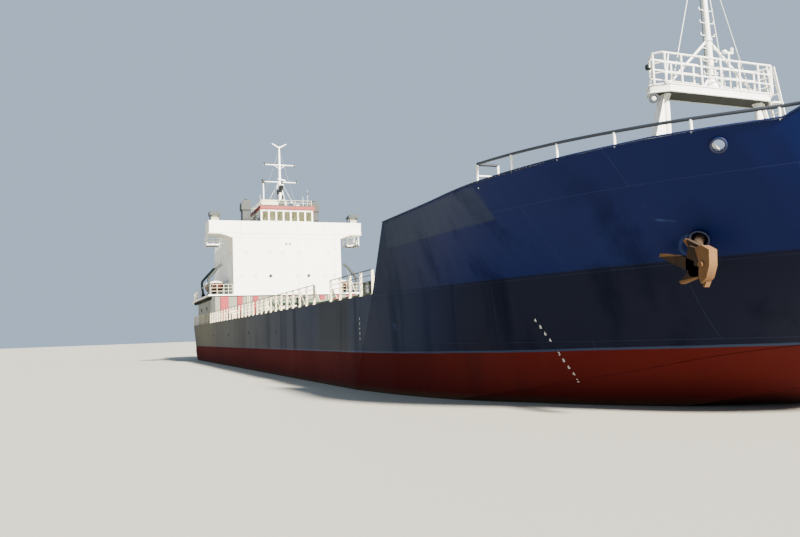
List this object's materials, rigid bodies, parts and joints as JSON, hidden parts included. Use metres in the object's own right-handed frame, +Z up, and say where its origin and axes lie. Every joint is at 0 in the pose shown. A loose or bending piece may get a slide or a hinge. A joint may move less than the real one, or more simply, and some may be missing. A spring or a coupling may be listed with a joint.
{
  "type": "coastal tanker, 1:10 scale model",
  "caption": "Scale model of a small coastal tanker in ballast: chined blue hull, raised forecastle with a portal foremast, piped main deck, and a white deckhouse with bridge wings aft.",
  "frame": {"origin": "on the centreline midway along the ship, at the waterline it floats at in ballast", "axes": "+X towards the bow, +Y to port, +Z up"},
  "size_m": [9, 1.6328, 2.4738],
  "materials": {
    "hull_blue": "satin, weathered",
    "bottom_red": "matte, worn antifouling",
    "white_paint": "satin",
    "cream_paint": "satin",
    "orange_red": "satin",
    "deck_green": "matte",
    "dark_grey": "matte",
    "boat_red": "dull",
    "rusted_steel": "rusted, matte",
    "bronze": "dull bronze"
  },
  "bodies": {
    "ship": {"hull": "hull_blue", "forecastle": "hull_blue", "bow_bulwark": "hull_blue", "side_plate_starboard": "hull_blue", "side_plate_port": "hull_blue", "hawse_pipe_starboard": "hull_blue", "hawse_pipe_port": "hull_blue", "poop": "white_paint", "bow_rail_starboard": "hull_blue", "bow_rail_port": "hull_blue", "anchor_starboard": "rusted_steel", "anchor_port": "rusted_steel", "forecastle_bitts_starboard": "dark_grey", "forecastle_bitts_port": "dark_grey", "windlass_bed": "deck_green", "foremast_portal": "white_paint", "foremast_platform_rail": "white_paint", "foremast_pole": "white_paint", "foremast_ladder": "white_paint", "deck_rail_fore_starboard": "cream_paint", "deck_rail_fore_port": "cream_paint", "deck_rail_aft_starboard": "cream_paint", "deck_rail_aft_port": "cream_paint", "cargo_pipes": "deck_green", "cargo_manifold": "deck_green", "tank_coaming_1_starboard": "deck_green", "tank_coaming_2_starboard": "deck_green", "tank_coaming_1_port": "deck_green", "tank_coaming_2_port": "deck_green", "poop_deck": "white_paint", "poop_rail": "cream_paint", "lifeboat_starboard": "boat_red", "lifeboat_port": "boat_red", "deckhouse": "white_paint", "bridge_deck": "white_paint", "bridge_bulwark": "white_paint", "wing_shelter_starboard": "dark_grey", "wing_shelter_port": "dark_grey", "wheelhouse": "white_paint", "wheelhouse_roof": "orange_red", "roof_rail": "cream_paint", "radar_mast": "cream_paint", "funnel_starboard": "dark_grey", "funnel_port": "dark_grey"},
    "propeller": {"propeller": "bronze"},
    "rudder": {"rudder": "bottom_red"},
    "windlass_shaft": {"windlass_shaft": "dark_grey"},
    "lid_1_starboard": {"tank_lid_1_starboard": "deck_green"},
    "lid_2_starboard": {"tank_lid_2_starboard": "deck_green"},
    "lid_1_port": {"tank_lid_1_port": "deck_green"},
    "lid_2_port": {"tank_lid_2_port": "deck_green"},
    "davit_starboard": {"davit_starboard": "dark_grey"},
    "davit_port": {"davit_port": "dark_grey"},
    "house_door_starboard": {"house_door_starboard": "white_paint"},
    "house_door_port": {"house_door_port": "white_paint"},
    "bridge_door_starboard": {"bridge_door_starboard": "white_paint"},
    "bridge_door_port": {"bridge_door_port": "white_paint"},
    "radar_upper": {"radar_scanner_upper": "white_paint"},
    "radar_lower": {"radar_scanner_lower": "white_paint"}
  },
  "joints": [
    {"name": "propeller_turn", "type": "hinge", "parent": "ship", "child": "propeller", "pos_m": [-4.035, 0, -0.03], "axis": [1, 0, 0], "continuous": true},
    {"name": "rudder_turn", "type": "hinge", "parent": "ship", "child": "rudder", "pos_m": [-4.24, 0, 0], "axis": [0, 0, 1], "range_deg": [-35, 35]},
    {"name": "windlass_turn", "type": "hinge", "parent": "ship", "child": "windlass_shaft", "pos_m": [3.74, 0, 0.68], "axis": [0, 1, 0], "continuous": true},
    {"name": "lid_1_starboard_open", "type": "hinge", "parent": "ship", "child": "lid_1_starboard", "pos_m": [1.075, -0.37, 0.453], "axis": [0, -1, 0], "range_deg": [0, 100]},
    {"name": "lid_2_starboard_open", "type": "hinge", "parent": "ship", "child": "lid_2_starboard", "pos_m": [-1.425, -0.37, 0.453], "axis": [0, -1, 0], "range_deg": [0, 100]},
    {"name": "lid_1_port_open", "type": "hinge", "parent": "ship", "child": "lid_1_port", "pos_m": [1.075, 0.37, 0.453], "axis": [0, -1, 0], "range_deg": [0, 100]},
    {"name": "lid_2_port_open", "type": "hinge", "parent": "ship", "child": "lid_2_port", "pos_m": [-1.425, 0.37, 0.453], "axis": [0, -1, 0], "range_deg": [0, 100]},
    {"name": "davit_starboard_swing", "type": "hinge", "parent": "ship", "child": "davit_starboard", "pos_m": [-2.9, -0.775, 0.7], "axis": [1, 0, 0], "range_deg": [0, 70]},
    {"name": "davit_port_swing", "type": "hinge", "parent": "ship", "child": "davit_port", "pos_m": [-2.9, 0.775, 0.7], "axis": [-1, 0, 0], "range_deg": [0, 70]},
    {"name": "house_door_starboard_open", "type": "hinge", "parent": "ship", "child": "house_door_starboard", "pos_m": [-3.3155, -0.5703, 0.79], "axis": [0, 0, 1], "range_deg": [0, 110]},
    {"name": "house_door_port_open", "type": "hinge", "parent": "ship", "child": "house_door_port", "pos_m": [-3.3155, 0.5703, 0.79], "axis": [0, 0, -1], "range_deg": [0, 110]},
    {"name": "bridge_door_starboard_open", "type": "hinge", "parent": "ship", "child": "bridge_door_starboard", "pos_m": [-2.5555, -0.2793, 1.4], "axis": [0, 0, 1], "range_deg": [0, 110]},
    {"name": "bridge_door_port_open", "type": "hinge", "parent": "ship", "child": "bridge_door_port", "pos_m": [-2.5555, 0.2793, 1.4], "axis": [0, 0, -1], "range_deg": [0, 110]},
    {"name": "radar_upper_turn", "type": "hinge", "parent": "ship", "child": "radar_upper", "pos_m": [-2.665, 0, 1.895], "axis": [0, 0, 1], "continuous": true},
    {"name": "radar_lower_turn", "type": "hinge", "parent": "ship", "child": "radar_lower", "pos_m": [-2.63, 0, 1.72], "axis": [0, 0, 1], "continuous": true}
  ]
}
